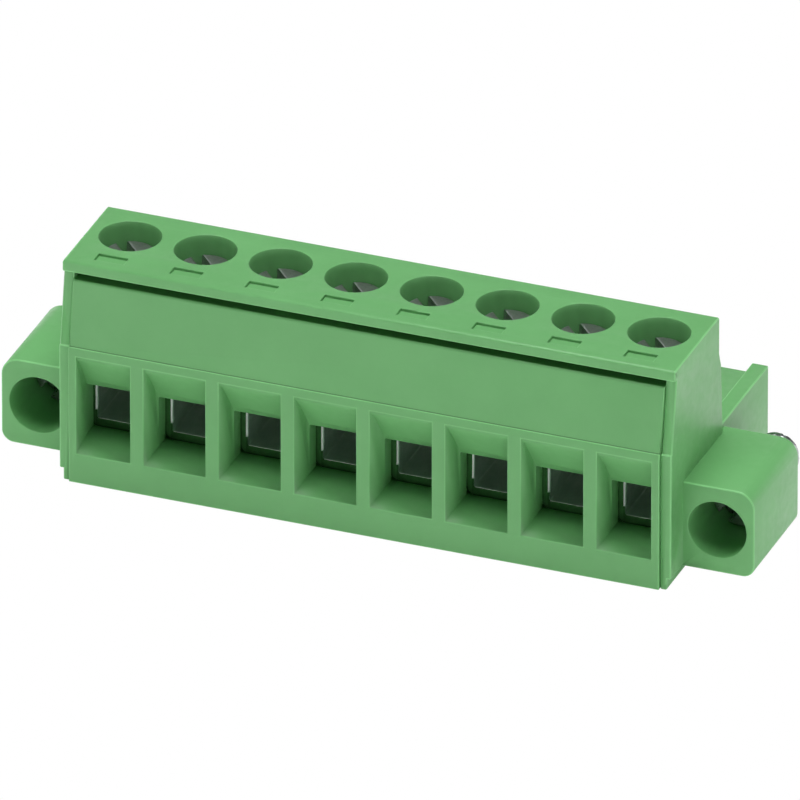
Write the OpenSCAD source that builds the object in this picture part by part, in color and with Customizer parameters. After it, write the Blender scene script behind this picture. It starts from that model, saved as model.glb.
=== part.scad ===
// Pluggable screw connector: the half of a board connector that takes the wires.
// A moulded housing holds a row of poles. Each pole has a rising clamp cage, the
// screw that lifts it, and a contact that runs back to a two-leaf socket in the
// nose. A front cover carries the wire entries, and an ear at each end carries a
// captive screw that fixes the connector to its board half.
// X runs along the row, Y from the wire entries to the nose, Z is up. The origin
// is on the underside, below the middle of the row of clamping screws.

/* [Row] */
// Number of poles
poles = 8; // [2:1:12]
// Distance from one pole to the next
pitch = 5.08; // [5:0.01:7.62]

/* [Clamping screw] */
// Outer radius of the screw's thread
screw_r = 1.5; // [1.2:0.05:1.6]
// Length of the chamfer at the screw's tip
screw_tip_h = 0.45; // [0.2:0.05:0.6]
// Radius of the screw's head
head_r = 1.75; // [1.65:0.05:1.9]
// Height of the screw's head
head_h = 1.6; // [1.2:0.1:2.4]
// Bevel round the top of the screw's head
head_bevel = 0.15; // [0.05:0.05:0.3]
// Depth of the head below the top face
head_drop = 1.2; // [0.6:0.1:3]
// Width of the driver slot
slot_w = 0.75; // [0.5:0.05:0.9]
// Depth of the driver slot
slot_d = 0.8; // [0.4:0.1:1.1]
// Direction of the driver slot, seen from above
slot_turn = -48; // [-90:1:90]

/* [Clamp cage] */
// Width of the cage's opening
cage_inner_w = 2.64; // [2.5:0.02:2.9]
// Thickness of the cage's strip
cage_t = 0.6; // [0.4:0.05:0.65]
// Depth of the cage along the wire
cage_d = 4.8; // [4.2:0.1:6]
// Height of the threaded top of the cage
cage_top_t = 2; // [1.4:0.1:3]
// Rounding of the cage's inner corners
cage_r = 0.1; // [0.05:0.05:0.6]
// Bevel along the upright edges of the cage's opening
cage_bevel = 0.17; // [0.05:0.01:0.3]
// Height above the cage's floor where those bevels start
cage_bevel_rise = 0.55; // [0.2:0.05:1.5]
// Height of the wire space with the clamp open
wire_gap = 2.95; // [2.7:0.05:3.6]
// Height that the cage climbs
cage_travel = 2.5; // [1:0.1:2.6]

/* [Contact] */
// Thickness of the current bar
bar_t = 0.8; // [0.5:0.05:1.2]
// Width of the current bar
bar_w = 2.3; // [1.6:0.05:2.4]
// Thickness of the upright behind the cage
web_t = 0.7; // [0.5:0.05:1]
// Thickness of each socket leaf
leaf_t = 0.45; // [0.3:0.05:0.5]
// Height of each socket leaf
leaf_h = 2.4; // [1.6:0.1:2.6]
// Gap between the leaves where they grip the pin
pin_gap = 0.84; // [0.6:0.02:1]
// Gap between the leaves at their root
root_gap = 1.7; // [1.2:0.1:1.8]
// Gap between the leaf tips, which flare to guide the pin
flare_gap = 1.6; // [1.2:0.1:1.8]

/* [Housing] */
// Thickness of the floor below the clamp chambers
floor_t = 2.4; // [2:0.1:3]
// Thickness of the ledge under the screw heads
ledge_t = 0.5; // [0.3:0.1:1]
// Distance from the last pole to the side of the housing
end_margin = 2.8; // [2.7:0.05:4]
// Thickness of the side walls beside the cover
wall_t = 0.72; // [0.5:0.02:0.74]
// Thickness of the rear wall behind the contacts
rear_wall_t = 0.75; // [0.5:0.05:1.5]
// Radius of the driver holes in the top
access_r = 2; // [1.95:0.05:2.2]
// Distance from the screw axes to the front of the top
lip_reach = 4.58; // [4.45:0.01:4.8]
// Thickness of the lip over the cover
lip_h = 0.74; // [0.4:0.02:1.2]
// Distance from the screw axes to the back of the top
top_back = 3.3; // [2.9:0.05:3.5]
// Height of the vertical part of the back, down from the top
back_drop = 2.6; // [1:0.1:3.4]
// Distance that the back steps out below its vertical part
back_step = 0.35; // [0.1:0.05:0.6]
// Height of the slope of that step
back_step_h = 1; // [0.4:0.1:2]
// Thickness of the wall in front of the driver holes
brow_t = 1.3; // [0.8:0.05:1.5]
// Height of the foot
foot_h = 0.76; // [0.3:0.02:1.2]
// Inset of the foot from the sides
foot_inset = 0.25; // [0.1:0.05:0.5]
// Rounding of the long top edges
edge_r = 0.2; // [0.1:0.05:0.4]
// Width of a marker recess in the top
marker_w = 1.98; // [1:0.02:3]
// Length of a marker recess, front to back
marker_len = 0.86; // [0.4:0.02:1.1]
// Depth of a marker recess
marker_d = 0.18; // [0.1:0.02:0.4]

/* [Front cover] */
// Height of the frame round the wire entries
frame_h = 9.58; // [9.3:0.02:10.4]
// Height of the frame's bottom rail
rail_h = 2.09; // [1.4:0.01:2.4]
// Height of the frame's top rail
top_rail_h = 0.56; // [0.3:0.02:1]
// Width of the divider between two wire entries
divider_w = 0.9; // [0.6:0.02:1.2]
// Distance that the outer side of an end entry is set in
end_trim = 0.54; // [0:0.02:0.7]
// Depth of the tapering part of a wire entry
funnel_len = 1.88; // [1.2:0.02:2.6]
// Width of a wire entry's throat
throat_w = 3.54; // [3:0.02:3.6]
// Depth of the straight throat
throat_len = 1.08; // [0.6:0.02:1.6]
// Rise of the wire entry's floor towards the throat
throat_rise = 0.55; // [0.2:0.05:0.8]
// Distance that the frame stands proud of the marking panel
panel_step = 0.21; // [0.1:0.01:0.4]
// Distance that the side walls stand back from the frame
wall_setback = 0.26; // [0.1:0.02:0.5]
// Distance that the side walls stand back from the panel
panel_proud = 0.2; // [0.1:0.02:0.4]
// Distance that the marking panel leans back over its height
panel_setback = 0.72; // [0.3:0.02:1]
// Open slot between the panel and the lip
lip_gap = 0.5; // [0.3:0.02:0.8]
// Bevel along the top of the frame
frame_bevel = 0.12; // [0.05:0.01:0.2]
// Swell of the wire entry's roof
roof_swell = 0.12; // [0:0.02:0.3]
// Radius of the snap ridge on each side of the cover
snap_r = 0.28; // [0.2:0.02:0.34]
// Length of the snap ridge
snap_len = 4; // [2:0.5:6]

/* [Nose] */
// Length of the nose behind the housing
nose_len = 8.6; // [7:0.05:10]
// Height of the nose above its underside
nose_h = 5.6; // [5.2:0.1:6.2]
// Inset of the nose from the sides
nose_inset = 0.18; // [0.05:0.01:0.3]
// Thickness of the raised cheek at each end
cheek_t = 1.1; // [0.8:0.05:1.4]
// Height that a cheek stands above the nose
cheek_rise = 0.66; // [0.3:0.02:1.2]
// Width of the cell round each socket
cell_w = 2.9; // [2.85:0.05:3.4]
// Height of the cell round each socket
cell_h = 2.9; // [2.8:0.05:3]
// Thickness of the wall at the mating face
face_t = 1; // [0.6:0.1:1.6]
// Width of the square pin port
port_w = 1.5; // [1.2:0.1:2]
// Depth of the sloped mouth of a pin port
port_lead = 0.35; // [0.2:0.05:0.5]

/* [Ears] */
// Distance from the last pole to the fixing screw
ear_offset = 5.08; // [5:0.01:6.5]
// Height of the fixing screws and sockets above the base
axis_z = 3.68; // [3.66:0.02:3.8]
// Material outside the fixing screw's axis
ear_edge = 2.49; // [2.3:0.01:3.2]
// Height of an ear
ear_h = 5.98; // [5:0.02:6.8]
// Distance from the frame's front to the ear's front
ear_setback = 2.4; // [1:0.05:4]
// Length of an ear, front to back
ear_len = 7.83; // [6:0.01:9]
// Rounding of an ear's upper outer corner
ear_r = 1.2; // [0.4:0.1:1.6]
// Rounding of an ear's lower outer corner
ear_low_r = 0.8; // [0.4:0.1:1.6]
// Radius of the screw well in an ear
well_r = 1.95; // [1.9:0.05:2.1]
// Depth of the fixing screw's head inside the well
well_head_depth = 4.1; // [1:0.1:4.2]
// Radius of the fixing screw's head
fix_head_r = 1.8; // [1.6:0.05:1.85]
// Height of the fixing screw's head
fix_head_h = 1.8; // [1.2:0.1:2]
// Width of the fixing screw's driver slot
fix_slot_w = 0.8; // [0.5:0.05:1]
// Depth of the fixing screw's driver slot
fix_slot_d = 0.9; // [0.4:0.1:1.2]
// Direction of the fixing screw's slot, seen from the front
fix_slot_turn = 50; // [-90:1:90]
// Radius of the fixing screw's plain neck
fix_neck_r = 1.2; // [0.9:0.05:1.25]
// Outer radius of the fixing screw's thread
fix_thread_r = 1.5; // [1.4:0.05:1.8]
// Length of thread behind the ear
fix_thread_len = 3.1; // [2:0.1:6]

/* [Clearances] */
// Radial clearance of a screw in its hole
run_clear = 0.06; // [0.02:0.01:0.1]
// Clearance between two mouldings that fit together
fit_clear = 0.04; // [0.02:0.01:0.08]
// Clearance on each side of a sliding cage
slide_clear = 0.12; // [0.05:0.01:0.15]
// Clearance above and below the cage at its end stops
stop_clear = 0.2; // [0.1:0.05:0.3]

/* [Hidden] */
$fn = 64;
tiny = 0.01;

// Places along the row
row_half = (poles - 1) * pitch / 2;
body_x = row_half + end_margin;
wall_in_x = body_x - wall_t;
cover_x = wall_in_x - fit_clear;
nose_x = body_x - nose_inset;
fix_x = row_half + ear_offset;
ear_x = fix_x + ear_edge;
cage_w = cage_inner_w + 2 * cage_t;
chamber_w = cage_w + 2 * slide_clear;

// Heights, from the floor up to the top face
cage_z = floor_t + stop_clear;
cage_floor_z = cage_z + cage_t;
bar_z = cage_floor_z + wire_gap;
bar_top_z = bar_z + bar_t;
cage_block_z = bar_top_z + stop_clear;
cage_top_z = cage_block_z + cage_top_t;
ceiling_z = cage_top_z + cage_travel + stop_clear;
ledge_z = ceiling_z + ledge_t;
head_z = ledge_z + run_clear;
head_top_z = head_z + head_h;
body_h = head_top_z + head_drop;
lip_z = body_h - lip_h;
panel_top_z = lip_z - lip_gap;
mouth_top_z = frame_h - top_rail_h;
throat_low_z = rail_h + throat_rise;
throat_high_z = bar_z;
back_z = body_h - back_drop;
back_step_z = back_z - back_step_h;
ear_low_z = axis_z - ear_h / 2;
snap_z = (rail_h + mouth_top_z - snap_len) / 2;
nose_top_z = foot_h + nose_h;
cheek_z = nose_top_z + cheek_rise;

// Places from front to back
cage_y = cage_d / 2;
cover_back_y = -cage_y - slide_clear;
core_front_y = cover_back_y + fit_clear;
throat_y = cover_back_y - throat_len;
frame_y = throat_y - funnel_len;
panel_y = frame_y + panel_step;
panel_tilt = atan(panel_setback / (panel_top_z - frame_h));
wall_y = frame_y + wall_setback;
web_y = cage_y + slide_clear;
web_back_y = web_y + web_t;
chamber_back_y = web_back_y + fit_clear;
rear_y = chamber_back_y + rear_wall_t;
brow_y = -access_r - brow_t;
snap_y = (frame_y + cover_back_y) / 2;
nose_y = rear_y + nose_len;
ear_y = frame_y + ear_setback;
ear_back_y = ear_y + ear_len;
fix_head_y = ear_y + well_head_depth;
well_floor_y = fix_head_y + fix_head_h + run_clear;
thread_y = ear_back_y + fit_clear;
fix_tip_y = thread_y + fix_thread_len;

function pole_x(i) = (i - 1) * pitch - row_half;

// Depth of the marking panel's face at a height
function panel_face_y(z) = panel_y + (z - frame_h) * tan(panel_tilt);

// Half width of a wire entry on one side of its pole: the outer side of an end entry is set in
function is_outer(i, side) = (i == 1 && side < 0) || (i == poles && side > 0);
function mouth_half(i, side) = (pitch - divider_w) / 2 - (is_outer(i, side) ? end_trim : 0);
function throat_half(i, side) = min(throat_w / 2, mouth_half(i, side));

// Points of an arc round [y, z]
function arc(y, z, r, from, to, steps = 4) =
    [for (k = [0 : steps]) let (a = from + (to - from) * k / steps) [y + r * cos(a), z + r * sin(a)]];

// Solid with the [y, z] outline given, from x0 to x1
module along_x(outline, x0, x1) {
    translate([x0, 0, 0])
        rotate([90, 0, 90])
            linear_extrude(x1 - x0)
                polygon(outline);
}

// Solid with the [x, y] outline given, from z0 to z1
module along_z(outline, z0, z1) {
    translate([0, 0, z0])
        linear_extrude(z1 - z0)
            polygon(outline);
}

// Box between two corners
module block(low, high) {
    translate(low)
        cube(high - low);
}

// Round bar along Y, from y0 to y1
module rod_y(x, z, r, y0, y1) {
    translate([x, y0, z])
        rotate([-90, 0, 0])
            cylinder(r = r, h = y1 - y0);
}

// Rectangle with round corners, centred on X and standing on the X axis
module round_rect(w, h, r) {
    translate([-w / 2 + r, 0])
        square([w - 2 * r, h]);
    translate([-w / 2, r])
        square([w, h - 2 * r]);
    for (x = [-w / 2 + r, w / 2 - r])
        for (y = [r, h - r])
            translate([x, y])
                circle(r);
}

// The back of the housing, from the top face down to its foot
function back_outline() = concat(
    arc(top_back - edge_r, body_h - edge_r, edge_r, 90, 0),
    [[top_back, back_z], [top_back + back_step, back_step_z], [rear_y, nose_top_z], [rear_y, 0]]
);

// The lip over the cover, from its underside up to the top face
function lip_outline() = concat(
    [[-lip_reach, lip_z]],
    arc(-lip_reach + edge_r, body_h - edge_r, edge_r, 180, 90)
);

// Side walls beside the cover: their fronts follow the frame and the panel
module side_walls() {
    outline = concat(
        [
            [wall_y, 0],
            [wall_y, frame_h],
            [panel_y + panel_proud, frame_h],
            [panel_face_y(lip_z) + panel_proud, lip_z]
        ],
        lip_outline(),
        back_outline()
    );
    along_x(outline, wall_in_x, body_x);
    along_x(outline, -body_x, -wall_in_x);
}

// Block that holds the clamp chambers, with the brow and the lip above them
module core() {
    outline = concat(
        [[core_front_y, 0], [core_front_y, ledge_z], [brow_y, ledge_z], [brow_y, lip_z]],
        lip_outline(),
        back_outline()
    );
    along_x(outline, -wall_in_x - tiny, wall_in_x + tiny);
}

// Step that sets the foot in from both sides
module foot_steps() {
    for (side = [-1, 1])
        translate([side * (body_x - foot_inset / 2), (wall_y + rear_y) / 2, 0])
            cube([foot_inset + tiny, rear_y - wall_y + 2 * tiny, 2 * foot_h], center = true);
}

// Nose with a raised cheek at each end
module nose() {
    block([-nose_x, 0, foot_h], [nose_x, nose_y, nose_top_z]);
    block([-nose_x, 0, foot_h], [-nose_x + cheek_t, nose_y, cheek_z]);
    block([nose_x - cheek_t, 0, foot_h], [nose_x, nose_y, cheek_z]);
}

// Outline of the right ear, seen from the front, with round outer corners
module ear_outline() {
    root_x = body_x - wall_t / 2;
    low_z = ear_low_z + ear_low_r;
    high_z = ear_low_z + ear_h - ear_r;
    translate([root_x, ear_low_z])
        square([ear_x - ear_low_r - root_x, high_z - ear_low_z]);
    translate([root_x, low_z])
        square([ear_x - root_x, high_z - low_z]);
    translate([root_x, low_z])
        square([ear_x - ear_r - root_x, high_z + ear_r - low_z]);
    translate([ear_x - ear_low_r, low_z])
        circle(ear_low_r);
    translate([ear_x - ear_r, high_z])
        circle(ear_r);
}

// One ear, as a solid
module ear() {
    translate([0, ear_back_y, 0])
        rotate([90, 0, 0])
            linear_extrude(ear_len)
                ear_outline();
}

// Well for the head and hole for the neck of the fixing screw at x
module ear_bores(x) {
    rod_y(x, axis_z, well_r, ear_y - tiny, well_floor_y);
    rod_y(x, axis_z, fix_neck_r + run_clear, well_floor_y - tiny, ear_back_y + tiny);
}

// Space for the cage and the contact's upright, with the holes of the screw above
module clamp_chamber(x) {
    half = chamber_w / 2;
    block([x - half, core_front_y - tiny, floor_t], [x + half, web_y, ceiling_z]);
    block([x - half, 0, floor_t], [x + half, chamber_back_y, bar_top_z + fit_clear]);
    translate([x, 0, ceiling_z - tiny])
        cylinder(r = screw_r + run_clear, h = ledge_t + 2 * tiny);
    translate([x, 0, ledge_z])
        cylinder(r = access_r, h = body_h - ledge_z + tiny);
}

// Space for the socket leaves, with the square pin port and its sloped mouth
module socket_cell(x) {
    half = port_w / 2;
    wide = half + port_lead;
    lead_y = nose_y - port_lead;
    block(
        [x - cell_w / 2, web_back_y, axis_z - cell_h / 2],
        [x + cell_w / 2, nose_y - face_t, axis_z + cell_h / 2]
    );
    block([x - half, nose_y - face_t - tiny, axis_z - half], [x + half, nose_y + tiny, axis_z + half]);
    intersection() {
        along_x(
            [
                [lead_y, axis_z - half],
                [nose_y, axis_z - wide],
                [nose_y + tiny, axis_z - wide],
                [nose_y + tiny, axis_z + wide],
                [nose_y, axis_z + wide],
                [lead_y, axis_z + half]
            ],
            x - wide,
            x + wide
        );
        along_z(
            [
                [x - half, lead_y],
                [x - wide, nose_y],
                [x - wide, nose_y + tiny],
                [x + wide, nose_y + tiny],
                [x + wide, nose_y],
                [x + half, lead_y]
            ],
            axis_z - wide,
            axis_z + wide
        );
    }
}

// Shallow recess in the top face in front of a driver hole
module marker_recess(x) {
    back_y = -access_r - (lip_reach - access_r - marker_len) / 2;
    block(
        [x - marker_w / 2, back_y - marker_len, body_h - marker_d],
        [x + marker_w / 2, back_y, body_h + tiny]
    );
}

// Grooves in the side walls that the cover's ridges snap into
module snap_grooves() {
    for (side = [-1, 1])
        translate([side * cover_x, snap_y, snap_z - fit_clear])
            cylinder(r = snap_r + fit_clear, h = snap_len + 2 * fit_clear);
}

module housing() {
    color("#5fa866")
        difference() {
            union() {
                difference() {
                    union() {
                        side_walls();
                        core();
                    }
                    foot_steps();
                }
                nose();
                ear();
                mirror([1, 0, 0])
                    ear();
            }
            for (i = [1 : poles]) {
                clamp_chamber(pole_x(i));
                socket_cell(pole_x(i));
                marker_recess(pole_x(i));
            }
            ear_bores(fix_x);
            ear_bores(-fix_x);
            snap_grooves();
        }
}

// Wire entry: a funnel with a swelling roof that narrows to a straight throat
module wire_entry(i) {
    x = pole_x(i);
    steps = 6;
    roof = [
        for (k = [0 : steps])
            let (t = k / steps)
            [
                throat_y + (frame_y - throat_y) * t,
                throat_high_z + (mouth_top_z - throat_high_z) * t + roof_swell * sin(180 * t)
            ]
    ];
    intersection() {
        along_x(
            concat(
                [
                    [frame_y - tiny, mouth_top_z],
                    [frame_y - tiny, rail_h],
                    [frame_y, rail_h],
                    [throat_y, throat_low_z],
                    [cover_back_y + tiny, throat_low_z],
                    [cover_back_y + tiny, throat_high_z]
                ],
                roof
            ),
            x - pitch / 2,
            x + pitch / 2
        );
        along_z(
            [
                [x - mouth_half(i, -1), frame_y - tiny],
                [x + mouth_half(i, 1), frame_y - tiny],
                [x + mouth_half(i, 1), frame_y],
                [x + throat_half(i, 1), throat_y],
                [x + throat_half(i, 1), cover_back_y + tiny],
                [x - throat_half(i, -1), cover_back_y + tiny],
                [x - throat_half(i, -1), throat_y],
                [x - mouth_half(i, -1), frame_y]
            ],
            0,
            frame_h
        );
    }
}

module wire_cover() {
    top_r = edge_r;
    top_arc_z = panel_top_z - top_r;
    outline = concat(
        [
            [frame_y, 0],
            [frame_y, mouth_top_z + frame_bevel],
            [frame_y + frame_bevel, frame_h],
            [panel_y, frame_h]
        ],
        arc(panel_face_y(top_arc_z) + top_r / cos(panel_tilt), top_arc_z, top_r, 180 - panel_tilt, 90),
        [
            [brow_y - fit_clear, panel_top_z],
            [brow_y - fit_clear, ledge_z - fit_clear],
            [cover_back_y, ledge_z - fit_clear],
            [cover_back_y, 0]
        ]
    );
    color("#63ad6a") {
        difference() {
            along_x(outline, -cover_x, cover_x);
            for (i = [1 : poles])
                wire_entry(i);
        }
        for (side = [-1, 1])
            translate([side * cover_x, snap_y, snap_z])
                cylinder(r = snap_r, h = snap_len);
    }
}

// Bevel cuts along the four upright edges of the cage's opening
module opening_bevels() {
    half = cage_inner_w / 2;
    for (sx = [-1, 1])
        for (sy = [-1, 1])
            along_z(
                [
                    [sx * (half - tiny), sy * (cage_y - cage_bevel)],
                    [sx * (half - tiny), sy * (cage_y + tiny)],
                    [sx * (half + cage_bevel), sy * (cage_y + tiny)],
                    [sx * half, sy * (cage_y - cage_bevel)]
                ],
                cage_floor_z + max(cage_r, cage_bevel_rise),
                cage_block_z
            );
}

// Rising cage, bent from strip: a wire opening below, a threaded block on top.
// The tapped hole runs on down the inner sides, as far as the screw's tip reaches.
module clamp_cage(i) {
    tap_z = bar_top_z - cage_travel;
    color("#a9b0b3")
        translate([pole_x(i), 0, 0])
            difference() {
                translate([0, cage_y, 0])
                    rotate([90, 0, 0])
                        linear_extrude(cage_d)
                            difference() {
                                translate([0, cage_z])
                                    round_rect(cage_w, cage_top_z - cage_z, cage_r + cage_t);
                                translate([0, cage_floor_z])
                                    round_rect(cage_inner_w, cage_block_z - cage_floor_z, cage_r);
                            }
                opening_bevels();
                translate([0, 0, tap_z])
                    cylinder(r = screw_r + run_clear, h = cage_top_z - tap_z + tiny);
            }
}

// Slotted clamping screw: its tip turns on the current bar
module clamp_screw(i) {
    tip_z = bar_top_z + fit_clear;
    color("#9aa0a0")
        translate([pole_x(i), 0, 0])
            difference() {
                union() {
                    translate([0, 0, tip_z])
                        cylinder(r1 = screw_r - screw_tip_h, r2 = screw_r, h = screw_tip_h);
                    translate([0, 0, tip_z + screw_tip_h])
                        cylinder(r = screw_r, h = head_z - tip_z - screw_tip_h + tiny);
                    translate([0, 0, head_z])
                        cylinder(r = head_r, h = head_h - head_bevel);
                    translate([0, 0, head_top_z - head_bevel])
                        cylinder(r1 = head_r, r2 = head_r - head_bevel, h = head_bevel);
                }
                translate([0, 0, head_top_z])
                    rotate([0, 0, slot_turn])
                        cube([3 * head_r, slot_w, 2 * slot_d], center = true);
            }
}

// Plan of the right leaf of a socket: it closes on the pin and flares at its tip
function leaf_outline() =
    let (
        tip_y = nose_y - face_t - fit_clear,
        flare_len = flare_gap - pin_gap,
        straight_y = web_back_y + (tip_y - web_back_y) / 6,
        grip_y = tip_y - flare_len,
        inner = [
            [root_gap / 2, web_back_y - tiny],
            [root_gap / 2, straight_y],
            [pin_gap / 2, grip_y],
            [flare_gap / 2, tip_y]
        ]
    )
    concat(inner, [for (k = [3 : -1 : 0]) inner[k] + [leaf_t, 0]]);

// Contact: the current bar through the cage, the upright behind it and the socket
module contact(i) {
    half = chamber_w / 2 - fit_clear;
    leaf_low_z = axis_z - leaf_h / 2;
    color("#c9b787")
        translate([pole_x(i), 0, 0]) {
            block([-bar_w / 2, -cage_y, bar_z], [bar_w / 2, web_y + tiny, bar_top_z]);
            block([-half, web_y, floor_t], [half, web_back_y, bar_top_z]);
            along_z(leaf_outline(), leaf_low_z, leaf_low_z + leaf_h);
            mirror([1, 0, 0])
                along_z(leaf_outline(), leaf_low_z, leaf_low_z + leaf_h);
        }
}

// Captive screw: slotted head in the ear's well, thin neck, thread behind the ear
module fixing_screw(x) {
    head_back_y = fix_head_y + fix_head_h;
    color("#c3c7c9")
        difference() {
            union() {
                rod_y(x, axis_z, fix_head_r, fix_head_y, head_back_y);
                rod_y(x, axis_z, fix_neck_r, head_back_y - tiny, thread_y + tiny);
                rod_y(x, axis_z, fix_thread_r, thread_y, fix_tip_y - screw_tip_h);
                translate([x, fix_tip_y - screw_tip_h, axis_z])
                    rotate([-90, 0, 0])
                        cylinder(r1 = fix_thread_r, r2 = fix_thread_r - screw_tip_h, h = screw_tip_h);
            }
            translate([x, fix_head_y, axis_z])
                rotate([0, -fix_slot_turn, 0])
                    cube([3 * fix_head_r, 2 * fix_slot_d, fix_slot_w], center = true);
        }
}

housing();
wire_cover();
fixing_screw(-fix_x);  // left_fixing_screw
fixing_screw(fix_x);  // right_fixing_screw
for (i = [1 : poles]) {
    clamp_cage(i);
    clamp_screw(i);
    contact(i);
}
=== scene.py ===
import math

import bmesh
import bpy
import numpy as np
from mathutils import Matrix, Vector


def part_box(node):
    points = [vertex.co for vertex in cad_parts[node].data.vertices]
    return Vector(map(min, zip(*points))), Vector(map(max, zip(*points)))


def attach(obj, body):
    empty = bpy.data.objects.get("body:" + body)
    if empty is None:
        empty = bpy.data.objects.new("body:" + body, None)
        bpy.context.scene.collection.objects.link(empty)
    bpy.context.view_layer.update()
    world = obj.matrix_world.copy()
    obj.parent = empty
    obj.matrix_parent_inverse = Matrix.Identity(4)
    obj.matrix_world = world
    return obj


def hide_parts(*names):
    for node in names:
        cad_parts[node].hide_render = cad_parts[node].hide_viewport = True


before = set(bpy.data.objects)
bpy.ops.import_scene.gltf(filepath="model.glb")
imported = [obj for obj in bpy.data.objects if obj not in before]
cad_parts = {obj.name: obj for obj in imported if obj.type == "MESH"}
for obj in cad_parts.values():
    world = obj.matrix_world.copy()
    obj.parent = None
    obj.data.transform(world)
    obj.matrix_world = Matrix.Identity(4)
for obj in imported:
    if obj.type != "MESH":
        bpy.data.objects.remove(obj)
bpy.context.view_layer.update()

mm = 0.001
poles = sum(1 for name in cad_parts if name.startswith("clamp_screw_"))
print("frame:", len(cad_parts), "solids,", poles, "poles")


# Places read from the frame, in millimetres
def boxOf(node):
    low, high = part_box(node)
    return np.array(low) / mm, np.array(high) / mm


noseY, topZ = boxOf("housing")[1][1:]
contactFront = boxOf("contact_1")[0][1]
coverLow, coverHigh = boxOf("wire_cover")
cageLow, cageHigh = boxOf("clamp_cage_1")
screwLow, screwHigh = boxOf("clamp_screw_1")
fixingLow, fixingHigh = boxOf("right_fixing_screw")
poleX = np.array([sum(boxOf(f"clamp_screw_{i + 1}"))[0] / 2 for i in range(poles)])
fixingX = (fixingLow[0] + fixingHigh[0]) / 2
fixingZ = (fixingLow[2] + fixingHigh[2]) / 2


# Camera, at the photo's viewing angle
photoView = {
    "azimuth": 21.08,        # degrees, towards +X
    "elevation": 28.36,      # degrees above the bench
    "distance": 2203.5,      # mm
    "lens": 1578.0,          # mm
    "sensor": 36.0,          # mm
    "clip": (0.1, 50.0),     # m, nearest and furthest that is seen
    "aimHeight": 7.5,        # mm above the bench
    "aimRight": 0.367,       # mm along the picture's width
    "aimUp": -0.492,         # mm along the picture's height
}


def makeCamera(view):
    azimuth, elevation = math.radians(view["azimuth"]), math.radians(view["elevation"])
    right = Vector((math.cos(azimuth), math.sin(azimuth), 0))
    back = Vector((math.sin(azimuth) * math.cos(elevation), -math.cos(azimuth) * math.cos(elevation),
                   math.sin(elevation)))
    up = back.cross(right)
    aim = Vector((0, 0, view["aimHeight"])) + view["aimRight"] * right + view["aimUp"] * up
    data = bpy.data.cameras.new("photoCamera")
    data.lens = view["lens"]
    data.sensor_width = view["sensor"]
    data.clip_start, data.clip_end = view["clip"]
    camera = bpy.data.objects.new("photoCamera", data)
    bpy.context.scene.collection.objects.link(camera)
    camera.location = (aim + view["distance"] * back) * mm
    camera.rotation_mode = "QUATERNION"
    camera.rotation_quaternion = (-back).to_track_quat("-Z", "Y")
    bpy.context.scene.camera = camera


makeCamera(photoView)
print("camera ready")


# Shader helpers
def newGroup(name, inputs, outputs):
    group = bpy.data.node_groups.new(name, "ShaderNodeTree")
    for label, kind, value in inputs:
        socket = group.interface.new_socket(label, in_out="INPUT", socket_type=kind)
        if value is not None:
            socket.default_value = value
    for label, kind in outputs:
        group.interface.new_socket(label, in_out="OUTPUT", socket_type=kind)
    return group, group.nodes.new("NodeGroupInput"), group.nodes.new("NodeGroupOutput")


def addNode(tree, kind, settings=None, **links):
    # A node with its settings, and with inputs that take a link or a value; i3 is the input of number 3
    node = tree.nodes.new(kind)
    for key, value in (settings or {}).items():
        setattr(node, key, value)
    for label, value in links.items():
        socket = node.inputs[int(label[1:]) if label[1:].isdigit() else label]
        if isinstance(value, bpy.types.NodeSocket):
            tree.links.new(value, socket)
        else:
            socket.default_value = value
    return node


def mathNode(tree, operation, a, b=0.0):
    return addNode(tree, "ShaderNodeMath", {"operation": operation}, i0=a, i1=b).outputs[0]


def noiseNode(tree, vector, scale, detail, rough):
    return addNode(tree, "ShaderNodeTexNoise", Vector=vector, Scale=scale, Detail=detail,
                   Roughness=rough).outputs[0]


def mapRange(tree, value, low, high, newLow, newHigh):
    return addNode(tree, "ShaderNodeMapRange", {"clamp": True}, i0=value, i1=low, i2=high, i3=newLow,
                   i4=newHigh).outputs[0]


def mixColour(tree, factor, a, b):
    return addNode(tree, "ShaderNodeMix", {"data_type": "RGBA"}, i0=factor, i6=a, i7=b).outputs[2]


perMetre = 1000.0            # millimetres in a metre: a noise's scale is this over its size in mm

# Spark-eroded skin of a moulding: fine pits, soft swells and a slow change of shade
skinPattern = {
    "pitDetail": 2.0, "pitRough": 0.55, "pitHeight": 0.7,
    "swellScale": 0.2,       # as a share of the pits' scale
    "swellDetail": 3.0, "swellRough": 0.5, "swellHeight": 0.6,
    "cloudDetail": 4.0, "cloudRough": 0.6,
    "range": (0.3, 0.7),     # part of the noise that becomes 0 to 1
}


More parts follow.
